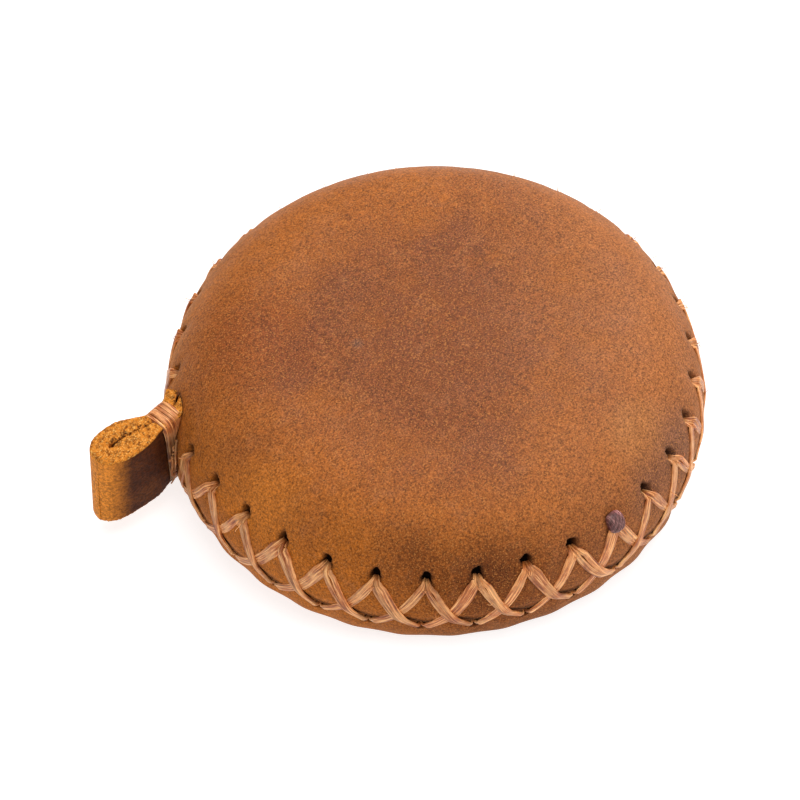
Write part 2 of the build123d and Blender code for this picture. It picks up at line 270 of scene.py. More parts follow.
def along(tree, coords, direction):
    """Distance along a direction from the object's axis."""
    dot = add_node(tree, "ShaderNodeVectorMath", {0: coords, 1: direction}, operation="DOT_PRODUCT")
    return dot.outputs["Value"]


def make_saddle_leather():
    """Oiled leather: red-brown in the middle, worn to orange tan over the shoulder, with a
    greyer painted reflection on the side away from the tab, painted shade low towards the
    front and golden painted light low on the left."""
    material, tree, shader = new_material("saddle_leather")
    coords = object_coords(tree)
    split = add_node(tree, "ShaderNodeSeparateXYZ", {"Vector": coords}).outputs
    flat = add_node(tree, "ShaderNodeCombineXYZ", {"X": split["X"], "Y": split["Y"]})
    length = add_node(tree, "ShaderNodeVectorMath", {0: flat.outputs[0]}, operation="LENGTH")
    radius = length.outputs["Value"]
    toward_painted_reflection = along(tree, coords, PAINTED_REFLECTION_SIDE)

    cloud = noise(tree, coords, 60, 4, 0.6, 0.6)
    patch = noise(tree, coords, 210, 4, 0.6, 0.3)
    mottle = noise(tree, coords, 1500, 3, 0.6)
    grain = noise(tree, coords, 4400, 2, 0.7)
    speck = noise(tree, coords, 6200, 1, 0.6)

    worn = remap(tree, radius, 0.008, 0.026)
    worn = maths(tree, "ADD", worn, remap(tree, cloud, 0.35, 0.65, -0.4, 0.4))
    worn = maths(tree, "ADD", worn, remap(tree, patch, 0.3, 0.7, -0.2, 0.2))
    worn = add_node(tree, "ShaderNodeClamp", {"Value": worn}).outputs[0]
    colour = mix(tree, worn, LEATHER_MIDDLE, LEATHER_WORN)
    # painted reflection: a greyer sheen painted in towards the side away from the tab
    colour = mix(tree, remap(tree, toward_painted_reflection, 0.004, 0.026, 0, 0.75), colour, LEATHER_PAINTED_REFLECTION)
    # painted light and shade on the lower side: golden painted light on the left, painted shade
    # darker towards the front-right, then the greyer painted reflection further right
    rim = mix(tree, remap(tree, toward_painted_reflection, -0.012, 0.003), LEATHER_RIM_LIT_GOLD, LEATHER_RIM_SHADE)
    rim = mix(tree, remap(tree, toward_painted_reflection, 0.008, 0.022, 0, 0.7), rim, LEATHER_PAINTED_REFLECTION)
    # low is the band down the lower side that takes this painted shade; the leather there is also
    # made rougher
    low = maths(tree, "MULTIPLY", remap(tree, split["Z"], 0.0158, 0.0115), 0.8)
    colour = mix(tree, low, colour, rim)
    colour = mix(tree, remap(tree, cloud, 0.5, 0.68, 0, 0.3), colour, LEATHER_DARK)
    veil = noise(tree, coords, 420, 4, 0.65, 0.4)
    colour = mix(tree, remap(tree, veil, 0.5, 0.72, 0, 0.35), colour, LEATHER_DUST)
    # marks in the leather, some of them patches of painted light and shade
    for centre, reach, tone, share in LEATHER_MARKS_AND_PAINTED_LIGHT:
        ragged = maths(tree, "MULTIPLY", near_point(tree, coords, centre, reach), share)
        ragged = maths(tree, "MULTIPLY", ragged, remap(tree, patch, 0.3, 0.6, 0.6, 1.0))
        colour = mix(tree, ragged, colour, tone)
    colour = shade(tree, colour, remap(tree, mottle, 0.34, 0.66, 0.88, 1.12))
    colour = shade(tree, colour, remap(tree, grain, 0.30, 0.70, 0.40, 1.60))
    colour = mix(tree, remap(tree, speck, 0.56, 0.68, 0, 0.5), colour, LEATHER_SPECK)
    # painted shade inside each stitch hole, with a darker stained ring round it
    hole_shade_and_stain = mesh_value(tree, "hole_shade_and_stain")
    colour = mix(tree, maths(tree, "MULTIPLY", hole_shade_and_stain, 0.94), colour, srgb(20, 9, 4))
    edge = mesh_value(tree, "edge")
    colour = mix(tree, maths(tree, "MULTIPLY", edge, 0.75), colour, srgb(50, 24, 10))
    plug(tree, shader.inputs["Base Color"], colour)
    dull = maths(tree, "MULTIPLY", low, 0.3)
    rough = maths(tree, "ADD", remap(tree, patch, 0.3, 0.7, 0.52, 0.66), dull)
    plug(tree, shader.inputs["Roughness"], rough)
    shader.inputs["Specular IOR Level"].default_value = 0.15
    shader.inputs["Sheen Weight"].default_value = 0.14
    shader.inputs["Sheen Roughness"].default_value = 0.35
    shader.inputs["Sheen Tint"].default_value = srgb(236, 190, 136)
    pores = noise(tree, coords, 1900, 4, 0.65)
    fine = bump(tree, pores, 0.4, 0.00012)
    wide = bump(tree, noise(tree, coords, 300, 3, 0.5), 0.3, 0.0004, fine)
    plug(tree, shader.inputs["Normal"], wide)
    return material


def make_tab_leather():
    """Dark oiled skin outside, golden fibrous cut edges on top and below."""
    material, tree, shader = new_material("tab_leather")
    coords = object_coords(tree)
    edge = mesh_value(tree, "edge")
    patch = noise(tree, coords, 260, 4, 0.6, 0.3)
    skin = mix(tree, remap(tree, patch, 0.35, 0.65), srgb(66, 29, 7), srgb(80, 38, 11))
    fold = maths(tree, "ADD", mesh_value(tree, "fold"), remap(tree, patch, 0.3, 0.7, -0.08, 0.08))
    fold = add_node(tree, "ShaderNodeClamp", {"Value": fold}).outputs[0]
    skin = mix(tree, fold, skin, srgb(204, 124, 40))
    skin = shade(tree, skin, remap(tree, noise(tree, coords, 3000, 2, 0.7), 0.36, 0.64, 0.6, 1.4))
    fibre = noise(tree, coords, 2300, 5, 0.75, 0.4)
    cut = mix(tree, remap(tree, fibre, 0.36, 0.54), srgb(96, 44, 12), srgb(212, 130, 44))
    crumb = noise(tree, coords, 5200, 2, 0.7)
    cut = mix(tree, remap(tree, crumb, 0.54, 0.70, 0, 0.8), cut, srgb(250, 196, 108))
    core = maths(tree, "MULTIPLY", mesh_value(tree, "core"), remap(tree, fibre, 0.42, 0.54, 1.0, 0.0))
    cut = mix(tree, core, cut, srgb(48, 20, 8))
    plug(tree, shader.inputs["Base Color"], mix(tree, edge, skin, cut))
    plug(tree, shader.inputs["Roughness"], remap(tree, edge, 0, 1, 0.68, 0.88))
    shader.inputs["Specular IOR Level"].default_value = 0.12
    height = mix(tree, edge, noise(tree, coords, 1500, 4, 0.65), fibre)
    plug(tree, shader.inputs["Normal"], bump(tree, height, 0.8, 0.00022))
    return material


def make_thread(name, dark, middle, light):
    """Flat waxed thread with fibres that run along it."""
    material, tree, shader = new_material(name)
    uv = add_node(tree, "ShaderNodeUVMap", uv_map="lengthwise").outputs[0]
    stretched = add_node(tree, "ShaderNodeMapping", {"Vector": uv, "Scale": (300.0, 5600.0, 1.0)})
    fibres = noise(tree, stretched.outputs[0], 1.0, 4, 0.6)
    coords = object_coords(tree)
    patch = noise(tree, coords, 480, 3, 0.6)
    colour = mix(tree, remap(tree, fibres, 0.36, 0.58), dark, middle)
    colour = mix(tree, remap(tree, fibres, 0.52, 0.66, 0, 0.9), colour, light)
    colour = mix(tree, remap(tree, patch, 0.42, 0.66, 0, 0.4), colour, light)
    colour = shade(tree, colour, mesh_value(tree, "tint"))
    plug(tree, shader.inputs["Base Color"], colour)
    shader.inputs["Roughness"].default_value = 0.46
    shader.inputs["Specular IOR Level"].default_value = 0.4
    plug(tree, shader.inputs["Normal"], bump(tree, fibres, 0.9, 0.00016))
    return material


def make_plastic(name, colour, lighter):
    """Moulded plastic: faint flow clouds and a fine spark-eroded texture."""
    material, tree, shader = new_material(name)
    coords = object_coords(tree)
    cloud = noise(tree, coords, 140, 4, 0.6, 0.5)
    texture = noise(tree, coords, 4200, 2, 0.6)
    tone = mix(tree, remap(tree, cloud, 0.35, 0.65), colour, lighter)
    tone = shade(tree, tone, remap(tree, texture, 0.35, 0.65, 0.9, 1.1))
    plug(tree, shader.inputs["Base Color"], tone)
    plug(tree, shader.inputs["Roughness"], remap(tree, cloud, 0.3, 0.7, 0.38, 0.52))
    plug(tree, shader.inputs["Normal"], bump(tree, texture, 0.35, 0.00005))
    return material


def make_metal(name, colour, worn, roughness):
    """Metal with fine turned or drawn lines, small stains and rubbed patches."""
    material, tree, shader = new_material(name)
    coords = object_coords(tree)
    drawn = add_node(tree, "ShaderNodeMapping", {"Vector": coords, "Scale": (900.0, 900.0, 9000.0)})
    lines = noise(tree, drawn.outputs[0], 1.0, 3, 0.6)
    rubbed = noise(tree, coords, 260, 4, 0.65, 0.4)
    tone = mix(tree, remap(tree, rubbed, 0.42, 0.62), colour, worn)
    tone = shade(tree, tone, remap(tree, lines, 0.35, 0.65, 0.86, 1.12))
    plug(tree, shader.inputs["Base Color"], tone)
    shader.inputs["Metallic"].default_value = 1.0
    shine = remap(tree, rubbed, 0.3, 0.7, roughness, roughness + 0.18)
    plug(tree, shader.inputs["Roughness"], shine)
    plug(tree, shader.inputs["Normal"], bump(tree, lines, 0.3, 0.00004))
    return material


def make_rubber():
    """The brake's friction ring: matt, with pale dust worn into it."""
    material, tree, shader = new_material("brake_rubber")
    coords = object_coords(tree)
    dust = noise(tree, coords, 700, 5, 0.7)
    tone = mix(tree, remap(tree, dust, 0.45, 0.7, 0, 0.6), srgb(34, 34, 34), srgb(92, 88, 82))
    plug(tree, shader.inputs["Base Color"], tone)
    shader.inputs["Roughness"].default_value = 0.88
    plug(tree, shader.inputs["Normal"], bump(tree, dust, 0.5, 0.00008))
    return material


def make_tape_cloth():
    """Coated fibreglass tape: cream, with its weave under the coating and ink lines along
    both edges."""
    material, tree, shader = new_material("tape_cloth")
    coords = object_coords(tree)
    split = add_node(tree, "ShaderNodeSeparateXYZ", {"Vector": coords}).outputs
    from_middle = maths(tree, "ABSOLUTE", maths(tree, "SUBTRACT", split["Z"], TAPE_Z))
    from_line = maths(tree, "SUBTRACT", from_middle, TAPE_HALF_WIDTH - 0.55 * MM)
    line = remap(tree, maths(tree, "ABSOLUTE", from_line), 0.06 * MM, 0.10 * MM, 1.0, 0.0)
    weave_z = maths(tree, "SINE", maths(tree, "MULTIPLY", split["Z"], 2 * math.pi / (0.35 * MM)))
    weave_x = maths(tree, "SINE", maths(tree, "MULTIPLY", split["X"], 2 * math.pi / (0.5 * MM)))
    weave = maths(tree, "MULTIPLY", weave_z, weave_x)
    soil = noise(tree, coords, 320, 4, 0.6)
    tone = mix(tree, remap(tree, soil, 0.4, 0.7), srgb(226, 206, 142), srgb(196, 170, 104))
    tone = shade(tree, tone, remap(tree, weave, -1, 1, 0.93, 1.05))
    tone = mix(tree, maths(tree, "MULTIPLY", line, 0.85), tone, srgb(34, 30, 28))
    plug(tree, shader.inputs["Base Color"], tone)
    plug(tree, shader.inputs["Roughness"], remap(tree, soil, 0.3, 0.7, 0.35, 0.5))
    plug(tree, shader.inputs["Normal"], bump(tree, weave, 0.3, 0.00004))
    return material


PAINTED_REFLECTION_SIDE = (0.69, -0.72, 0.0)  # painted reflection: the side away from the tab is painted greyer, as a sheen of the white surroundings
LEATHER_MIDDLE = srgb(118, 63, 31)
LEATHER_WORN = srgb(154, 86, 31)
# colour of the painted reflection on the side away from the tab
LEATHER_PAINTED_REFLECTION = srgb(145, 88, 51)
# colours for the lower side: painted light on the left, painted shade towards the front-right
LEATHER_RIM_LIT_GOLD = srgb(166, 92, 22)
LEATHER_RIM_SHADE = srgb(106, 52, 12)
LEATHER_DARK = srgb(100, 48, 22)
LEATHER_SPECK = srgb(204, 132, 66)
LEATHER_DUST = srgb(148, 94, 60)

# Marks in the leather, some of them painted light and shade: where, how far they reach, their colour
# and how strong they are.
LEATHER_MARKS_AND_PAINTED_LIGHT = [
    ((-0.0136, 0.0145, 0.0173), 0.0105, srgb(110, 51, 22), 0.65),
    # golden patches by the front-left holes, partly the leather's colour and partly a painted
    # highlight
    ((-0.0276, -0.0002, 0.0148), 0.0065, srgb(186, 108, 34), 0.75),
    ((-0.0244, -0.0102, 0.0145), 0.0050, srgb(160, 88, 20), 0.6),
    # darker patches low on the front, partly the leather's tone and partly painted shade
    ((-0.0170, -0.0232, 0.0125), 0.0060, srgb(84, 40, 12), 0.75),
    ((-0.0215, -0.0165, 0.0142), 0.0050, srgb(96, 46, 10), 0.6),
    # greyer patches on the right, partly the leather's tone and partly the painted reflection there
    ((0.0055, -0.0246, 0.0165), 0.0050, srgb(166, 112, 66), 0.5),
    ((0.0094, -0.0268, 0.0120), 0.0055, srgb(104, 70, 56), 0.7),
    ((0.0033, -0.0285, 0.0120), 0.0045, srgb(104, 70, 56), 0.6),
    ((-0.0066, 0.0051, 0.0180), 0.0009, srgb(110, 92, 80), 0.4),
    ((0.0061, 0.0185, 0.0175), 0.0005, srgb(92, 46, 28), 0.5),
    ((0.0060, 0.0179, 0.0175), 0.0005, srgb(92, 46, 28), 0.5),
]

saddle_leather = make_saddle_leather()
tab_leather = make_tab_leather()
waxed_thread = make_thread(
    "waxed_thread", srgb(116, 50, 16), srgb(206, 118, 54), srgb(252, 194, 128)
)
sealed_thread = make_thread("sealed_thread", srgb(40, 10, 12), srgb(98, 42, 44), srgb(190, 140, 132))
tape_cloth = make_tape_cloth()
finishes = {
    "case_plastic": make_plastic("case_plastic", srgb(26, 26, 28), srgb(40, 40, 42)),
    "spool_plastic": make_plastic("spool_plastic", srgb(226, 222, 208), srgb(238, 236, 226)),
    "turned_brass": make_metal("turned_brass", srgb(214, 176, 96), srgb(168, 126, 62), 0.22),
    "plated_steel": make_metal("plated_steel", srgb(198, 200, 204), srgb(158, 158, 160), 0.26),
    "spring_steel": make_metal("spring_steel", srgb(96, 104, 124), srgb(142, 128, 104), 0.28),
    "brake_rubber": make_rubber(),
    "tape_cloth": tape_cloth,
}


def finish_works():
    """Gives each part of the works that keeps its CAD shape its own finish."""
    for part in frame["record"]["subparts"]:
        finish = finishes.get(part["material_slot"])
        if finish:
            materials = frame["nodes"][part["node"]].data.materials
            materials.clear()
            materials.append(finish)


finish_works()


# ---------------------------------------------------------------- the jacket's outside
def top_height(r):
    """Height of the upper half's outside at radius r: nearly flat, then rounding over."""
    u = np.clip((r - SHOULDER_R) / (MAX_R - SHOULDER_R), 0, 1)
    crown = CROWN * np.minimum(1, r / SHOULDER_R) ** 2
    return WIDEST_Z + (TOP_Z - WIDEST_Z - crown) * np.sqrt(1 - u**3)


SAMPLE_R = np.linspace(SHOULDER_R, MAX_R, 4000)
SAMPLE_Z = top_height(SAMPLE_R)


def jacket_radius(z):
    """Radius of the jacket's outside at height z, from the base up to the shoulder."""
    z = np.asarray(z, dtype=float)
    upper = np.interp(z, SAMPLE_Z[::-1], SAMPLE_R[::-1])
    t = np.clip((WIDEST_Z - z) / WIDEST_Z, 0, 1)
    lower = BASE_R + (MAX_R - BASE_R) * np.sqrt(1 - t**2.3)
    return np.where(z >= WIDEST_Z, upper, lower)


def jacket_normal(azimuth, z):
    """Unit vector straight out of the leather."""
    step = 0.05 * MM
    slope = float(jacket_radius(z + step) - jacket_radius(z - step)) / (2 * step)
    return Vector((math.cos(azimuth), math.sin(azimuth), -slope)).normalized()


def jacket_point(azimuth, z, lift=0.0):
    r = float(jacket_radius(z))
    point = Vector((r * math.cos(azimuth), r * math.sin(azimuth), z))
    return point + jacket_normal(azimuth, z) * lift


def column_azimuths(per_pitch):
    """Azimuths all the way round, closer together at the stitch holes."""
    steps = np.arange(per_pitch) / per_pitch - 0.5
    eased = 0.42 * steps + 0.58 * 4 * steps**3
    return np.concatenate([FIRST_HOLE + PITCH * (i + eased) for i in range(STITCHES)])


def nearest_hole(azimuth):
    """Number of the nearest stitch hole, and the angle to it. The hole left out at the
    mouth is pushed out of reach."""
    turns = (azimuth - FIRST_HOLE) / PITCH
    number = np.round(turns)
    missing = (number % STITCHES) == STITCHES - 1
    return number, np.where(missing, NO_HOLE, (turns - number) * PITCH)


def hole_rise(number):
    """The hand-punched upper holes wander up and down as far as the ninth, and the later
    ones all sit a little high."""
    wave = 0.12 + 0.27 * np.sin(number - 0.3) - 0.45 * bell(number, 0.5)
    return np.where(number > 8.5, 0.2, wave) * MM


def wander(azimuth, waves, seed):
    """A slow random wave round the rim, about -1 to 1."""
    local = np.random.default_rng(seed)
    total = np.zeros_like(azimuth)
    for count in waves:
        total += local.uniform(0.4, 1.0) * np.sin(count * azimuth + local.uniform(0, 6.28))
    return total / len(waves)


def hole_ring(arc, rise, number):
    """Distance from a hole's middle, 1 at its ragged rim."""
    angle = np.arctan2(rise, arc)
    ragged = 1 + 0.10 * np.sin(3 * angle + 7 * number) + 0.06 * np.sin(5 * angle + 4 * number)
    return np.hypot(arc / HOLE_HALF_WIDTH, rise / HOLE_HALF_HEIGHT) / ragged


def shape_outside(r, z, normal_r, normal_z, azimuth, hole_z, lag, up, seed):
    """Outside of one half as rows down the profile and columns round the rim, with the
    mouth cut, the scalloped edge, the drawn-in stitches and the holes pressed in."""
    R = r + 0 * azimuth
    Z = z + 0 * azimuth
    at_mouth = (azimuth - MOUTH_AZIMUTH + math.pi) % (2 * math.pi) - math.pi
    notch = 1 - smooth((np.abs(at_mouth) * MAX_R - MOUTH_HALF_WIDTH) / MOUTH_CORNER)
    mouth_end = MOUTH_TOP if up > 0 else MOUTH_BOTTOM
    reach = abs(mouth_end - SEAM_Z)
    drawn_from = mouth_end + up * MOUTH_DRAW
    mouth_share = np.clip((drawn_from - Z) / (drawn_from - SEAM_Z), 0, 1)
    Z = Z + notch * up * reach * mouth_share**1.5

    _, angle = nearest_hole(azimuth)
    wave = np.where(np.abs(angle) > PITCH, 0.0, np.cos(2 * np.pi * angle / PITCH))
    tongue_reach = UPPER_TONGUE_REACH if up > 0 else LOWER_TONGUE_REACH
    hang = smooth(1 - np.abs(Z - SEAM_Z) / tongue_reach) * (0.5 + 0.5 * wave) * (1 - notch)
    Z = Z - TONGUE * hang
    R = np.where(z < ROUNDED_BELOW, jacket_radius(Z), R)

    number, angle = nearest_hole(azimuth + lag)
    rise = hole_rise(number) if up > 0 else 0.0
    ring = hole_ring(angle * R, Z - hole_z - rise, number)
    pit = 1 - smooth((ring - 0.78) / 0.34)
    drawn = bell(np.maximum(ring - 1, 0), 1.1)
    lip = bell(ring - 1.35, 0.22)
    if up > 0:
        puff = 0.05 * MM * (1 + wave) * bell(Z - SEAM_Z, 3.6 * MM)
    else:
        puff = -0.14 * MM * wave * bell(Z - 3.6 * MM, 2.2 * MM)
    edge_z = SEAM_Z + notch * up * reach
    roll = EDGE_ROLL * bell(Z - edge_z, 0.40 * MM)
    sway = RIM_SWAY * wander(azimuth, (2, 3, 5, 8), seed) * (R / MAX_R) ** 3
    out = puff + sway - roll - HOLE_DRAW * drawn + HOLE_LIP * lip - HOLE_PIT * pit
    out = np.where(R < BASE_R * 0.9, 0.0, out) if up < 0 else out
    # painted shade inside each hole, and a stained ring round it
    hole_shade_and_stain = np.maximum(pit, 0.5 * bell(np.maximum(ring - 1.0, 0), 0.35))
    return R + normal_r * out, Z + normal_z * out, hole_shade_and_stain


def leather_half(name, profile, hole_z, lag, up, seed):
    """One moulded half of the jacket. profile lists (r, z) from the middle to the seam
    along the outside; up is 1 for the top half and -1 for the bottom one."""
    columns = column_azimuths(20)
    count = len(columns)
    azimuth = columns[None, :]
    r = np.array([p[0] for p in profile])
    z = np.array([p[1] for p in profile])
    run = np.hypot(np.gradient(r), np.gradient(z))
    normal_r = -np.gradient(z) / run * up
    normal_z = np.gradient(r) / run * up
    R, Z, hole_shade_and_stain = shape_outside(
        r[:, None], z[:, None], normal_r[:, None], normal_z[:, None], azimuth, hole_z, lag, up, seed
    )

    edge_r, edge_z = [], []
    for angle in np.linspace(0.2, 1.0, 5) * math.pi:
        edge_r.append(R[-1] - LEATHER / 2 * (1 - math.cos(angle)))
        edge_z.append(Z[-1] - up * (EDGE_BULGE * math.sin(angle) - EDGE_TUCK))
    inner_r, inner_z = [], []
    for share in (0.12, 0.3, 0.5, 0.7, 0.85, 0.95):
        row = int((1 - share) * (len(profile) - 1))
        inner_r.append(np.full(count, r[row] - normal_r[row] * LEATHER))
        lowest = Z[-1] * up + SEAM_GAP
        inner_z.append(up * np.maximum((z[row] - normal_z[row] * LEATHER) * up, lowest))
    all_r = np.vstack([R[1:], edge_r, inner_r])
    all_z = np.vstack([Z[1:], edge_z, inner_z])
    points = np.stack([all_r * np.cos(azimuth), all_r * np.sin(azimuth), all_z], axis=-1)
    points = points.reshape(-1, 3)
    first = len(points)
    points = np.vstack([points, [[0, 0, z[0]], [0, 0, float(np.mean(inner_z[-1]))]]])
    faces = grid_faces(len(all_r), count)
    last = (len(all_r) - 1) * count
    for j in range(count):
        k = (j + 1) % count
        faces.append((first, j, k))
        faces.append((first + 1, last + k, last + j))
    if up < 0:
        faces = [tuple(reversed(face)) for face in faces]

    piece = mesh_object(name, points, faces, saddle_leather)
    hidden = len(edge_r) + len(inner_r)
    hole_shade_rows = np.vstack([hole_shade_and_stain[1:], np.zeros((hidden, count))])
    outline = bell(Z - Z[-1], 0.22 * MM)
    edge_rows = np.vstack([outline[1:], np.ones((hidden, count))])
    attribute(piece, "hole_shade_and_stain", np.append(hole_shade_rows.ravel(), [0, 0]))
    attribute(piece, "edge", np.append(edge_rows.ravel(), [0, 1]))
    return piece


def top_profile():
    radii = [0] + spaced(1.2 * MM, SHOULDER_R, 12) + spaced(SHOULDER_R, 26.2 * MM, 26)
    outline = [(r, float(top_height(np.array(r)))) for r in radii]
    heights = (
        spaced(outline[-1][1] - 0.3 * MM, 14.0 * MM, 5)
        + spaced(14.0 * MM, 11.0 * MM, 25)
        + spaced(11.0 * MM, SEAM_Z + 0.9 * MM, 10)
        + spaced(SEAM_Z + 0.9 * MM, SEAM_Z + SEAM_GAP, 8)
        + [SEAM_Z + SEAM_GAP]
    )
    return outline + [(float(jacket_radius(z)), z) for z in heights]


def bottom_profile():
    outline = [(r, 0.0) for r in [0] + spaced(2 * MM, BASE_R - 0.2 * MM, 10)]
    turn = np.linspace(0, 1, 9)[1:] ** 1.6
    heights = (
        list(turn * 2.2 * MM)
        + spaced(2.5 * MM, 3.6 * MM, 5)
        + spaced(3.6 * MM, 5.9 * MM, 20)
        + spaced(5.9 * MM, SEAM_Z - SEAM_GAP, 6)
        + [SEAM_Z - SEAM_GAP]
    )
    return outline + [(float(jacket_radius(z)), z) for z in heights]


def make_covers():
    """The top half stays in place, and the bottom half goes with the reel."""
    top = leather_half("leather_top", top_profile(), UPPER_Z, 0.0, 1, 3)
    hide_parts("cover_top")
    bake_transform(top)
    bottom = leather_half("leather_bottom", bottom_profile(), LOWER_Z, LOWER_LAG, -1, 5)
    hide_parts("cover_bottom")
    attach(bottom, "reel")


make_covers()


# ---------------------------------------------------------------- thread
LEG_SETTLE = 0.20 * MM  # a leg sinks this far towards the leather between its holes
LEG_ROOT = 1.0 * MM  # how deep in its hole a leg ends
CROSS_LIFT = 0.26 * MM  # how far the upper leg of a cross rides over the lower one
FLAT_THICK = 0.17 * MM
DOUBLE_THICK = 0.19 * MM
BAR_THICK = 0.2 * MM


class Ribbons:
    """Collects swept flat ribbons of thread into one mesh."""

    def __init__(self):
        self.points = []
        self.faces = []
        self.uv = []
        self.tint = []

    def sweep(self, path, sides, half_width, half_thick, tint=1.0, sections=12):
        """path and sides are lists of vectors; the sizes are one number for each point, and
        tint is one for all or one for each."""
        count = len(path)
        tints = np.broadcast_to(tint, count)
        base = len(self.points)
        travelled = rng.uniform(0, 1)
        shift = rng.uniform(0, 1)
        for i in range(count):
            ahead = path[min(i + 1, count - 1)] - path[max(i - 1, 0)]
            tangent = ahead.normalized()
            side = (sides[i] - tangent * sides[i].dot(tangent)).normalized()
            outward = side.cross(tangent)
            if i:
                travelled += (path[i] - path[i - 1]).length
            for k in range(sections):
                angle = 2 * math.pi * k / sections
                c, s = math.cos(angle), math.sin(angle)
                across = math.copysign(abs(c) ** 0.75, c) * half_width[i]
                groove = 1 - 0.25 * math.cos(3 * math.pi * c) ** 2
                rise = math.copysign(abs(s) ** 0.8, s) * half_thick[i] * groove
                self.points.append(path[i] + side * across + outward * rise)
                self.uv.append((travelled, shift + across))
                self.tint.append(tints[i])
        self.faces += grid_faces(count, sections, base)
        self.faces.append(tuple(base + k for k in range(sections)))
        tail = base + (count - 1) * sections
        self.faces.append(tuple(tail + k for k in reversed(range(sections))))

    def build(self, name, body, node):
        piece = mesh_object(name, self.points, self.faces, waxed_thread, self.uv)
        attribute(piece, "tint", self.tint)
        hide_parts(node)
        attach(piece, body)


def stitch_leg(ribbons, start, end, width, thick, lift, apart, tint):
    """One leg over the seam. start and end are (azimuth, z) inside two holes, and apart is
    how far it lies to the side at its upper end."""
    steps = 48
    path, sides, widths, thicks = [], [], [], []
    bow = rng.uniform(-0.12, 0.12) * MM
    phase = rng.uniform(0, 6.28)
    span = jacket_point(*end) - jacket_point(*start)
    for i in range(steps + 1):
        t = i / steps
        inside = float(1 - smooth(min(t / 0.05, (1 - t) / 0.11)))
        sag = t + 0.2 * math.sin(math.pi * t)
        z = start[1] + (end[1] - start[1]) * sag
        aside = apart * (1 - t) * min(1, 0.3 + 8 * t) + bow * math.sin(math.pi * t)
        azimuth = start[0] + (end[0] - start[0]) * t + aside / MAX_R
        rise = lift * math.exp(-(((t - 0.52) / 0.2) ** 2)) + thick * 0.8
        rise -= LEG_SETTLE * math.sin(math.pi * t)
        path.append(jacket_point(azimuth, z, rise * (1 - inside) - LEG_ROOT * inside**2))
        sides.append(span.cross(jacket_normal(azimuth, z)).normalized())
        wave = 1 + 0.12 * math.sin(6 * t + phase) + 0.06 * math.sin(17 * t + phase)
        taper = 1 - 0.26 * float(smooth((t - 0.45) / 0.5))
        pinch = 0.06 * float(1 - smooth(t / 0.2))
        widths.append(width * (1 - 0.3 * inside - pinch) * wave * taper)
        thicks.append(thick * (1 + 0.3 * inside + 0.5 * pinch))
    ribbons.sweep(path, sides, widths, thicks, tint)


def loose_fibre(ribbons, azimuth, z, length):
    """A short fibre that stands away from the thread."""
    start = jacket_point(azimuth, z, 0.30 * MM)
    way = Vector((rng.uniform(-1, 1), rng.uniform(-1, 1), rng.uniform(-1, 1))).normalized()
    out = jacket_normal(azimuth, z)
    path, sides = [], []
    for i in range(7):
        t = i / 6
        path.append(start + way * length * t + out * 0.3 * MM * math.sin(2.4 * t))
        sides.append(out.cross(way).normalized())
    ribbons.sweep(path, sides, [0.03 * MM] * 7, [0.03 * MM] * 7, 1.3, 5)


def lace_rim():
    """Every cross is a flat leg and a doubled leg that lean opposite ways. The doubled one
    is on top as far as the knot, and the flat one after it."""
    ribbons = Ribbons()
    top_z = UPPER_Z - 0.50 * MM
    low_z = LOWER_Z + 0.1 * MM
    for index, (left, right) in enumerate(zip(HOLES, HOLES[1:])):
        flat_lift, double_lift = (0.0, CROSS_LIFT) if index < KNOT_HOLE else (CROSS_LIFT, 0.0)
        left_top = (left, top_z + float(hole_rise(index)))
        right_top = (right, top_z + float(hole_rise(index + 1)))
        width = rng.uniform(0.56, 0.72) * MM
        stitch_leg(ribbons, right_top, (left - LOWER_LAG, low_z), width, FLAT_THICK,
                   flat_lift, rng.uniform(-0.35, -0.15) * MM, rng.uniform(0.95, 1.15))
        end = (right - LOWER_LAG, low_z)
        fan = rng.uniform(0.20, 0.62) * MM
        width = rng.uniform(0.34, 0.46) * MM
        # painted shade: the first strand of the doubled leg is painted a little darker, as the one
        # lying in the other's shadow
        stitch_leg(ribbons, left_top, end, width, DOUBLE_THICK, double_lift,
                   -fan * 0.5, rng.uniform(0.78, 0.95))
        stitch_leg(ribbons, left_top, end, width * 0.95, DOUBLE_THICK, double_lift + 0.05 * MM,
                   fan * 1.5, rng.uniform(0.95, 1.15))
        for _ in range(rng.randint(2, 4)):
            spot = left + rng.uniform(-0.25, 0.25) * MM / MAX_R
            height = left_top[1] - rng.uniform(0.3, 0.8) * MM
            loose_fibre(ribbons, spot, height, rng.uniform(0.3, 0.6) * MM)
        if rng.random() < 0.5:
            spot = left + rng.uniform(0, 0.6) * PITCH
            loose_fibre(ribbons, spot, rng.uniform(8, 11) * MM, rng.uniform(0.4, 0.9) * MM)
    for index in (0, len(HOLES) - 1):
        azimuth = HOLES[index]
        start = (azimuth, top_z + float(hole_rise(index)))
        for aside in (-0.32, 0.34):
            stitch_leg(ribbons, start, (azimuth - LOWER_LAG, low_z), 0.40 * MM,
                       BAR_THICK, CROSS_LIFT, aside * MM, rng.uniform(0.85, 1.05))
    ribbons.build("rim_lacing", "reel", "seam_lacing")


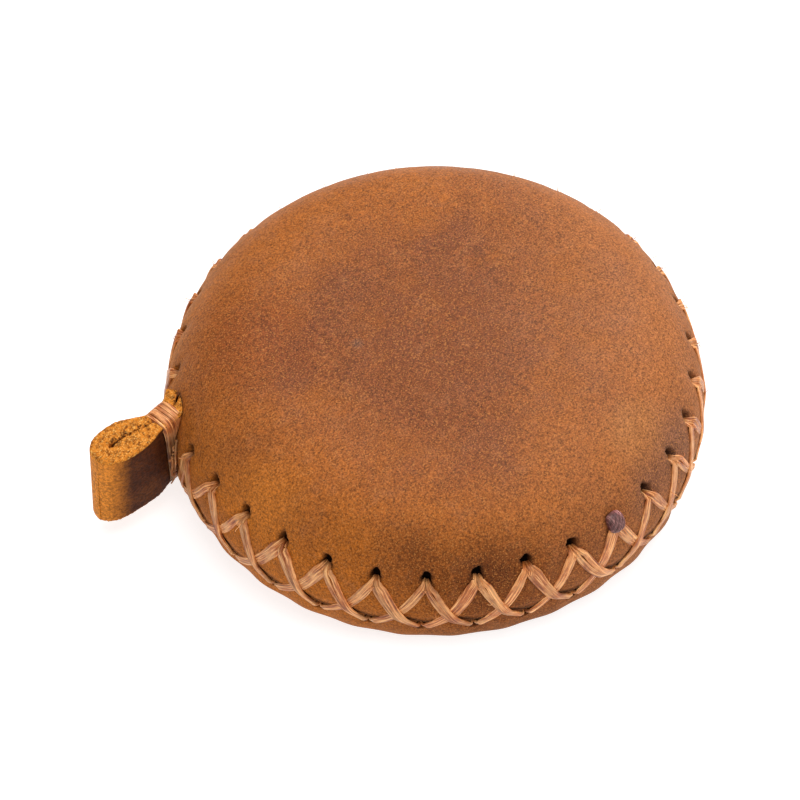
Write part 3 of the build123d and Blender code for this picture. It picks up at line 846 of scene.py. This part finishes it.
def sealed_knot():
    """The melted end of the thread: a short ribbed barrel over one hole."""
    azimuth = HOLES[KNOT_HOLE]
    centre_z = UPPER_Z + 0.05 * MM + float(hole_rise(KNOT_HOLE)) / 2
    middle = jacket_point(azimuth, centre_z, 0.25 * MM)
    normal = jacket_normal(azimuth, centre_z)
    around = Vector((-math.sin(azimuth), math.cos(azimuth), 0))
    down = around.cross(normal).normalized()
    points, uv, tint = [], [], []
    rows, columns = 30, 56
    half_across, half_down, half_out = 1.02, 1.2, 0.8  # in mm
    for i in range(rows + 1):
        polar = math.pi * i / rows
        for j in range(columns):
            angle = 2 * math.pi * j / columns
            c, s = math.cos(angle), math.sin(angle)
            x = math.copysign(abs(c) ** 0.7, c) * math.sin(polar) ** 0.75
            y = math.copysign(abs(s) ** 0.7, s) * math.sin(polar) ** 0.75
            h = math.cos(polar)
            ridge = math.cos(5.5 * math.pi * (0.76 * x + 0.64 * y))
            rib = 1 + 0.16 * ridge * max(0.0, h)
            spot = around * x * half_across * MM + down * y * half_down * MM
            spot += normal * h * rib * half_out * MM
            points.append(middle + spot)
            uv.append((y * 0.002, x * 0.002))
            # streaks along the ribs, partly painted light, and a painted glint on one side of the
            # knot
            tint.append(0.85 + 0.3 * ridge + (1.1 if 0.8 * x - 0.6 * y > 0.74 else 0.0))
    faces = [tuple(reversed(face)) for face in grid_faces(rows + 1, columns)]
    piece = mesh_object("sealed_knot", points, faces, sealed_thread, uv)
    attribute(piece, "tint", tint)
    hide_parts("thread_knot")
    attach(piece, "reel")


lace_rim()
sealed_knot()

# ---------------------------------------------------------------- pull tab
TAB_TOP = tab_high[2] - 0.05 * MM
TAB_BOTTOM = tab_low[2]
NECK_START, NECK_END = 8.1 * MM, 11.0 * MM  # the whipping, measured from the tip
NECK_Y = TAPE_Y - 0.75 * MM
TAB_CORNER = 0.28 * MM
NECK_PINCH = 0.28 * MM  # the whipping squeezes the strip's height by this at each edge
TIP_LEAN = 0.75 * MM  # the foot of the fold stands out further than its top
SIDE_LEAN = 0.45 * MM
JACKET_GAP = 0.12 * MM
CUT_FUZZ = 0.045  # spread of the cut edges' fibres, in mm

# The folded strip from above, from one flared end round the fold to the other, as
# millimetres from the tip and to the side of the tape.
TAB_OUTSIDE = [
    (12.6, -1.0), (10.9, -2.2), (8.1, -2.1), (6.1, -2.5), (4.0, -2.5), (2.1, -2.05), (0.7, -1.1),
    (0.25, 0.4), (0.85, 1.85), (2.5, 2.65), (5.2, 2.35), (8.1, 0.7), (10.5, 0.6), (12.1, 1.45),
]
TAB_INSIDE = [
    (12.9, -0.3), (11.0, -0.75), (8.1, -0.7), (6.1, -0.22), (4.2, 0.2), (3.2, 0.24), (2.7, 0.12),
    (2.4, 0.42), (2.7, 0.72), (3.2, 0.58), (5.2, 0.02), (8.1, -0.66), (10.8, -0.7), (12.7, 0.3),
]


def clear_of_jacket(point, gap):
    """The point, moved out along -X if it would be inside the jacket."""
    reach = float(jacket_radius(point.z)) + gap
    if point.x**2 + point.y**2 < reach**2:
        point.x = -math.sqrt(max(reach**2 - point.y**2, 0))
    return point


def rounded_section(width, height, corner):
    """Points round an upright strip's section as (across, up, on_cut_edge)."""
    outline = []
    corners = (
        (width - corner, height - corner, 0),
        (corner, height - corner, 90),
        (corner, corner, 180),
        (width - corner, corner, 270),
    )
    for index, (across, up, start) in enumerate(corners):
        for k in range(4):
            angle = math.radians(start + 30 * k)
            x, y = across + corner * math.cos(angle), up + corner * math.sin(angle)
            outline.append((x, y, y > height - corner * 0.6 or y < corner * 0.6))
        following = corners[(index + 1) % 4]
        steps = 9 if index % 2 == 0 else 16
        edge_x, edge_y, _ = outline[-1]
        angle = math.radians(following[2])
        next_x = following[0] + corner * math.cos(angle)
        next_y = following[1] + corner * math.sin(angle)
        for k in range(1, steps):
            f = k / steps
            x, y = edge_x + (next_x - edge_x) * f, edge_y + (next_y - edge_y) * f
            outline.append((x, y, index % 2 == 0))
    return outline


def folded_tab():
    """The strip of leather, its top nearer the jacket than its foot."""
    samples = 170
    outside = spline(TAB_OUTSIDE, samples)
    inside = spline(TAB_INSIDE, samples)
    height = TAB_TOP - TAB_BOTTOM
    points, edge, fold, core = [], [], [], []
    for (out_x, out_y), (in_x, in_y) in zip(outside, inside):
        across = Vector((in_x - out_x, in_y - out_y, 0)) * MM
        width = across.length
        across.normalize()
        pinch = NECK_PINCH * float(bell(out_x * MM - (NECK_START + NECK_END) / 2, 1.7 * MM))
        for a, b, cut in rounded_section(width, height - 2 * pinch, TAB_CORNER):
            start = Vector((tab_low[0] + out_x * MM, TAPE_Y + out_y * MM, TAB_BOTTOM + pinch + b))
            point = start + across * a
            foot = 1 - b / height
            point.x -= TIP_LEAN * foot * float(smooth((7.5 - out_x) / 7.0))
            if out_y < 0:
                point.y += SIDE_LEAN * foot * float(smooth((7.5 - out_x) / 4.0)) * (1 - a / width)
            if cut:
                point.z += fibre_rng.normal(0, CUT_FUZZ) * MM
            points.append(clear_of_jacket(point, JACKET_GAP))
            edge.append(1.0 if cut or a > width - 0.05 * MM else 0.0)
            fold.append(float(smooth((3.5 - out_x) / 3.4)))
            core.append(0.8 * float(bell(width - a, 0.6 * MM)) if out_x > 1.5 else 0.0)
    section = len(points) // samples
    faces = [tuple(reversed(face)) for face in grid_faces(samples, section)]
    faces.append(tuple(reversed(range(section))))
    tail = (samples - 1) * section
    faces.append(tuple(tail + k for k in range(section)))
    piece = mesh_object("folded_tab", points, faces, tab_leather)
    attribute(piece, "edge", edge)
    attribute(piece, "fold", fold)
    attribute(piece, "core", core)
    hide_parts("pull_tab")
    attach(piece, "tape_end")


def whipping_turn(ribbons, x, length, layer, tint):
    """One turn of thread round the tab's neck, over both cut edges."""
    steps = 72
    lean = rng.uniform(-0.12, 0.12) * MM
    half_y = (1.54 + 0.15 * layer + rng.uniform(0, 0.05)) * MM
    half_z = (TAB_TOP - TAB_BOTTOM) / 2 - (0.2 - 0.16 * layer + rng.uniform(0, 0.05)) * MM
    middle_z = (TAB_TOP + TAB_BOTTOM) / 2
    path, sides, tints = [], [], []
    for k in range(steps + 1):
        angle = 2 * math.pi * k / steps
        c, s = math.cos(angle), math.sin(angle)
        y = NECK_Y + math.copysign(abs(c) ** 0.5, c) * half_y
        z = middle_z + math.copysign(abs(s) ** 0.28, s) * half_z
        point = Vector((x + lean * s + length * (k / steps - 0.5), y, z))
        path.append(clear_of_jacket(point, (0.25 + 0.1 * layer) * MM))
        sides.append(Vector((1, 0, 0)))
        # painted shade: each turn is darker towards the foot of the tab
        painted_shade = float(smooth((TAB_TOP - 1.2 * MM - z) / (1.8 * MM)))
        tints.append(tint * (1 - 0.6 * painted_shade))
    width = rng.uniform(0.17, 0.22) * MM
    ribbons.sweep(path, sides, [width] * (steps + 1), [0.12 * MM] * (steps + 1), tints, 8)


def loose_loop(ribbons, x, z, reach, tint):
    """A slack, tangled end of the whipping that hangs on the tab's near side."""
    path, sides = [], []
    phase = rng.uniform(0, 6.28)
    drop = rng.uniform(2.4, 4.2) * MM
    for k in range(26):
        t = k / 25
        y = NECK_Y - 2.05 * MM - (0.35 + 0.25 * math.sin(phase)) * MM * math.sin(math.pi * t)
        swing = reach * math.sin(2.6 * math.pi * t + phase)
        point = Vector((x + swing, y, z - drop * t + 0.5 * MM * math.sin(9 * t + phase)))
        path.append(clear_of_jacket(point, 0.2 * MM))
        sides.append(Vector((1, 0, 0.3)).normalized())
    half = rng.uniform(0.10, 0.18) * MM
    ribbons.sweep(path, sides, [half] * 26, [0.09 * MM] * 26, tint, 7)


def neck_whipping():
    ribbons = Ribbons()
    start = tab_low[0] + NECK_START
    turns = 9
    pitch = (NECK_END - NECK_START) / turns
    for layer in range(2):
        for i in range(turns - layer):
            x = start + pitch * (i + 0.5 + 0.5 * layer)
            whipping_turn(ribbons, x, pitch, layer, rng.uniform(0.85, 1.2))
    for i in range(9):
        x = start + (0.32 * i - 0.2) * MM
        loose_loop(ribbons, x, rng.uniform(7.5, 10.5) * MM, 0.36 * MM, rng.uniform(0.35, 1.15))
    ribbons.build("neck_whipping", "tape_end", "tab_whipping")


def tape_strip():
    """The tape between the coil and the tab, as the short run it makes when reeled in."""
    start_x = COIL_EXIT_X
    end_x = lead_low[0]
    half = 0.13 * MM
    straight = 14 * MM  # how far it runs before it bends to the middle of the neck
    columns, rows = 420, 12
    points = []
    for i in range(columns):
        x = start_x + (end_x - start_x) * i / (columns - 1)
        settle = float(smooth((start_x - straight - x) / (7 * MM)))
        y = TAPE_Y + (NECK_Y - TAPE_Y) * settle * 0.6
        for side in (-1, 1):
            for j in range(rows):
                across = 2 * j / (rows - 1) - 1
                z = TAPE_Z + side * across * (TAPE_HALF_WIDTH - 0.02 * MM)
                crown = half * (0.75 + 0.25 * math.sqrt(max(0.0, 1 - across**2)))
                points.append((x, y + side * crown, z))
    section = 2 * rows
    faces = [tuple(reversed(face)) for face in grid_faces(columns, section)]
    faces.append(tuple(range(section)))
    tail = (columns - 1) * section
    faces.append(tuple(tail + k for k in reversed(range(section))))
    piece = mesh_object("tape_strip", points, faces, tape_cloth)
    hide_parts("tape_lead")
    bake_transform(piece)


def brake_spring():
    """The coil spring under the button."""
    low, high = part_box("button_spring")
    wire, turns, around = 0.17 * MM, 4, 10
    coil = (high[0] - low[0]) / 2 - wire
    steps = 36 * turns
    points = []
    for i in range(steps + 1):
        turn = 2 * math.pi * turns * i / steps
        z = low[2] + wire + (high[2] - low[2] - 2 * wire) * i / steps
        for k in range(around):
            angle = 2 * math.pi * k / around
            r = coil + wire * math.cos(angle)
            points.append((r * math.cos(turn), r * math.sin(turn), z + wire * math.sin(angle)))
    faces = [tuple(reversed(face)) for face in grid_faces(steps + 1, around)]
    faces.append(tuple(range(around)))
    faces.append(tuple(steps * around + k for k in reversed(range(around))))
    piece = mesh_object("brake_spring", points, faces, finishes["spring_steel"])
    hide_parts("button_spring")
    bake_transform(piece)


folded_tab()
neck_whipping()
tape_strip()
brake_spring()


# ---------------------------------------------------------------- floor, light, camera
CAMERA_AZIMUTH = math.radians(-46)  # turn of the view about Z from straight along +Y
CAMERA_ELEVATION = math.radians(52.62)
CAMERA_ROLL = math.radians(1.94)
CAMERA_DISTANCE = 383.89 * MM
CAMERA_TARGET = (-3.86 * MM, -2.29 * MM, 9.03 * MM)  # before the turn
CAMERA_LENS = 157.44


def turned(x, y, z):
    """A point given as seen by the camera (x right, y away) in the object's frame."""
    c, s = math.cos(CAMERA_AZIMUTH), math.sin(CAMERA_AZIMUTH)
    return Vector((c * x - s * y, s * x + c * y, z))


def make_floor():
    reach = 3.0
    corners = [(-reach, -reach, 0), (reach, -reach, 0), (reach, reach, 0), (-reach, reach, 0)]
    material, tree, shader = new_material("floor_white")
    shader.inputs["Base Color"].default_value = (0.5, 0.5, 0.5, 1)
    shader.inputs["Roughness"].default_value = 0.9
    shader.inputs["Specular IOR Level"].default_value = 0.0
    shader.inputs["Emission Color"].default_value = (1, 1, 1, 1)
    shader.inputs["Emission Strength"].default_value = 0.76
    floor = mesh_object("floor", corners, [(0, 1, 2, 3)], material)
    floor.location.z = -0.05 * MM


def make_world():
    world = bpy.data.worlds.new("studio")
    world.use_nodes = True
    background = world.node_tree.nodes["Background"]
    background.inputs["Color"].default_value = (1.0, 0.99, 0.97, 1)
    background.inputs["Strength"].default_value = 0.34
    bpy.context.scene.world = world


def area_light(name, place, size, power):
    light = bpy.data.lights.new(name, "AREA")
    light.shape = "DISK"
    light.size = size
    light.energy = power
    lamp = bpy.data.objects.new(name, light)
    lamp.location = place
    lamp.rotation_euler = (-place).to_track_quat("-Z", "Y").to_euler()
    bpy.context.scene.collection.objects.link(lamp)


def make_camera():
    data = bpy.data.cameras.new("camera")
    data.lens = CAMERA_LENS
    data.sensor_width = 36
    data.clip_start = 0.01
    camera = bpy.data.objects.new("camera", data)
    back = turned(0, -math.cos(CAMERA_ELEVATION), math.sin(CAMERA_ELEVATION))
    camera.location = turned(*CAMERA_TARGET) + back * CAMERA_DISTANCE
    camera.rotation_mode = "QUATERNION"
    roll = Quaternion(Vector((0, 0, 1)), -CAMERA_ROLL)
    camera.rotation_quaternion = back.to_track_quat("Z", "Y") @ roll
    bpy.context.scene.collection.objects.link(camera)
    bpy.context.scene.camera = camera


make_floor()
make_world()
area_light("key", turned(0.32, 0.70, 0.75), size=0.7, power=9.7)
area_light("overhead", turned(0.1, -0.1, 0.9), size=0.6, power=3.4)
area_light("right_fill", turned(0.85, -0.35, 0.5), size=0.4, power=2.9)
area_light("left_fill", turned(-0.8, -0.5, 0.45), size=0.4, power=1.2)
make_camera()
bpy.context.scene.view_settings.view_transform = "Standard"
